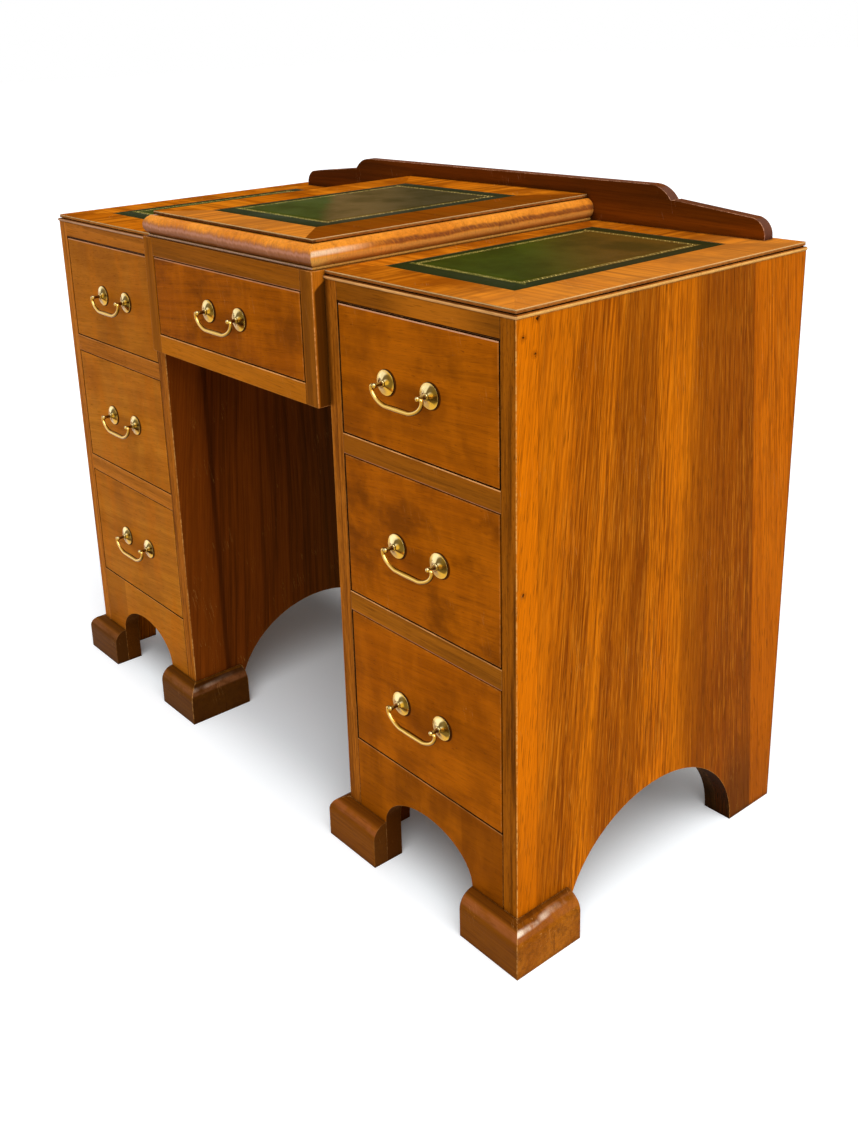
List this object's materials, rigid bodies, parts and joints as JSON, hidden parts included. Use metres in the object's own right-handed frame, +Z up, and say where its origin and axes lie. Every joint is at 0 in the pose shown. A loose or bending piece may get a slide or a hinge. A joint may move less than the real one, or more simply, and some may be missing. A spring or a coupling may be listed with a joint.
{
  "type": "kneehole desk",
  "caption": "Walnut kneehole desk with drawer pedestals, a drawer over the kneehole, leather-lined tops, a raised middle and a low shaped gallery.",
  "frame": {"origin": "on the floor under the middle of the desk's bounding box", "axes": "+Z up, +X to the right seen from the front, +Y towards the gallery at the back"},
  "size_m": [1.041, 0.511, 0.804],
  "materials": {
    "side_veneer": "satin polish",
    "drawer_veneer": "satin polish",
    "walnut": "satin polish",
    "banding": "satin polish",
    "carcass_wood": "bare",
    "leather": "polished hide with a gilt border",
    "brass": "polished",
    "steel": "plain"
  },
  "bodies": {
    "carcass": {"drawer_stops": "carcass_wood", "gallery": "walnut", "left_apron": "walnut", "left_back_panel": "carcass_wood", "left_front_feet": "walnut", "left_inner_side": "side_veneer", "left_leather": "leather", "left_outer_side": "side_veneer", "left_rails": "walnut", "left_runners": "carcass_wood", "left_top_board": "walnut", "left_top_border": "banding", "middle_back": "carcass_wood", "middle_leather": "leather", "middle_moulding": "banding", "middle_rails": "walnut", "middle_runners": "carcass_wood", "middle_screws": "steel", "middle_sides": "walnut", "middle_top_board": "walnut", "middle_top_border": "banding", "rear_leg_linings": "walnut", "right_apron": "walnut", "right_back_panel": "carcass_wood", "right_front_feet": "walnut", "right_inner_side": "side_veneer", "right_leather": "leather", "right_outer_side": "side_veneer", "right_rails": "walnut", "right_runners": "carcass_wood", "right_top_board": "walnut", "right_top_border": "banding"},
    "left_top_drawer": {"left_top_drawer_front": "drawer_veneer", "left_top_drawer_box": "carcass_wood", "left_top_drawer_mounts": "brass"},
    "left_top_bail": {"left_top_drawer_bail": "brass"},
    "left_middle_drawer": {"left_middle_drawer_front": "drawer_veneer", "left_middle_drawer_box": "carcass_wood", "left_middle_drawer_mounts": "brass"},
    "left_middle_bail": {"left_middle_drawer_bail": "brass"},
    "left_bottom_drawer": {"left_bottom_drawer_front": "drawer_veneer", "left_bottom_drawer_box": "carcass_wood", "left_bottom_drawer_mounts": "brass"},
    "left_bottom_bail": {"left_bottom_drawer_bail": "brass"},
    "right_top_drawer": {"right_top_drawer_front": "drawer_veneer", "right_top_drawer_box": "carcass_wood", "right_top_drawer_mounts": "brass"},
    "right_top_bail": {"right_top_drawer_bail": "brass"},
    "right_middle_drawer": {"right_middle_drawer_front": "drawer_veneer", "right_middle_drawer_box": "carcass_wood", "right_middle_drawer_mounts": "brass"},
    "right_middle_bail": {"right_middle_drawer_bail": "brass"},
    "right_bottom_drawer": {"right_bottom_drawer_front": "drawer_veneer", "right_bottom_drawer_box": "carcass_wood", "right_bottom_drawer_mounts": "brass"},
    "right_bottom_bail": {"right_bottom_drawer_bail": "brass"},
    "middle_drawer": {"middle_drawer_front": "drawer_veneer", "middle_drawer_box": "carcass_wood", "middle_drawer_mounts": "brass"},
    "middle_bail": {"middle_drawer_bail": "brass"}
  },
  "joints": [
    {"name": "left_top_drawer_slide", "type": "slide", "parent": "carcass", "child": "left_top_drawer", "axis": [0, -1, 0], "range_m": [0, 0.3]},
    {"name": "left_top_bail_swing", "type": "hinge", "parent": "left_top_drawer", "child": "left_top_bail", "pos_m": [-0.337, -0.23545, 0.63898], "axis": [-1, 0, 0], "range_deg": [-35, 95]},
    {"name": "left_middle_drawer_slide", "type": "slide", "parent": "carcass", "child": "left_middle_drawer", "axis": [0, -1, 0], "range_m": [0, 0.3]},
    {"name": "left_middle_bail_swing", "type": "hinge", "parent": "left_middle_drawer", "child": "left_middle_bail", "pos_m": [-0.346, -0.23545, 0.44842], "axis": [-1, 0, 0], "range_deg": [-35, 95]},
    {"name": "left_bottom_drawer_slide", "type": "slide", "parent": "carcass", "child": "left_bottom_drawer", "axis": [0, -1, 0], "range_m": [0, 0.3]},
    {"name": "left_bottom_bail_swing", "type": "hinge", "parent": "left_bottom_drawer", "child": "left_bottom_bail", "pos_m": [-0.344, -0.23545, 0.24534], "axis": [-1, 0, 0], "range_deg": [-35, 95]},
    {"name": "right_top_drawer_slide", "type": "slide", "parent": "carcass", "child": "right_top_drawer", "axis": [0, -1, 0], "range_m": [0, 0.3]},
    {"name": "right_top_bail_swing", "type": "hinge", "parent": "right_top_drawer", "child": "right_top_bail", "pos_m": [0.337, -0.23545, 0.63898], "axis": [-1, 0, 0], "range_deg": [-35, 95]},
    {"name": "right_middle_drawer_slide", "type": "slide", "parent": "carcass", "child": "right_middle_drawer", "axis": [0, -1, 0], "range_m": [0, 0.3]},
    {"name": "right_middle_bail_swing", "type": "hinge", "parent": "right_middle_drawer", "child": "right_middle_bail", "pos_m": [0.346, -0.23545, 0.44842], "axis": [-1, 0, 0], "range_deg": [-35, 95]},
    {"name": "right_bottom_drawer_slide", "type": "slide", "parent": "carcass", "child": "right_bottom_drawer", "axis": [0, -1, 0], "range_m": [0, 0.3]},
    {"name": "right_bottom_bail_swing", "type": "hinge", "parent": "right_bottom_drawer", "child": "right_bottom_bail", "pos_m": [0.344, -0.23545, 0.24534], "axis": [-1, 0, 0], "range_deg": [-35, 95]},
    {"name": "middle_drawer_slide", "type": "slide", "parent": "carcass", "child": "middle_drawer", "axis": [0, -1, 0], "range_m": [0, 0.3]},
    {"name": "middle_bail_swing", "type": "hinge", "parent": "middle_drawer", "child": "middle_bail", "pos_m": [0, -0.25245, 0.6699], "axis": [-1, 0, 0], "range_deg": [-35, 95]}
  ]
}
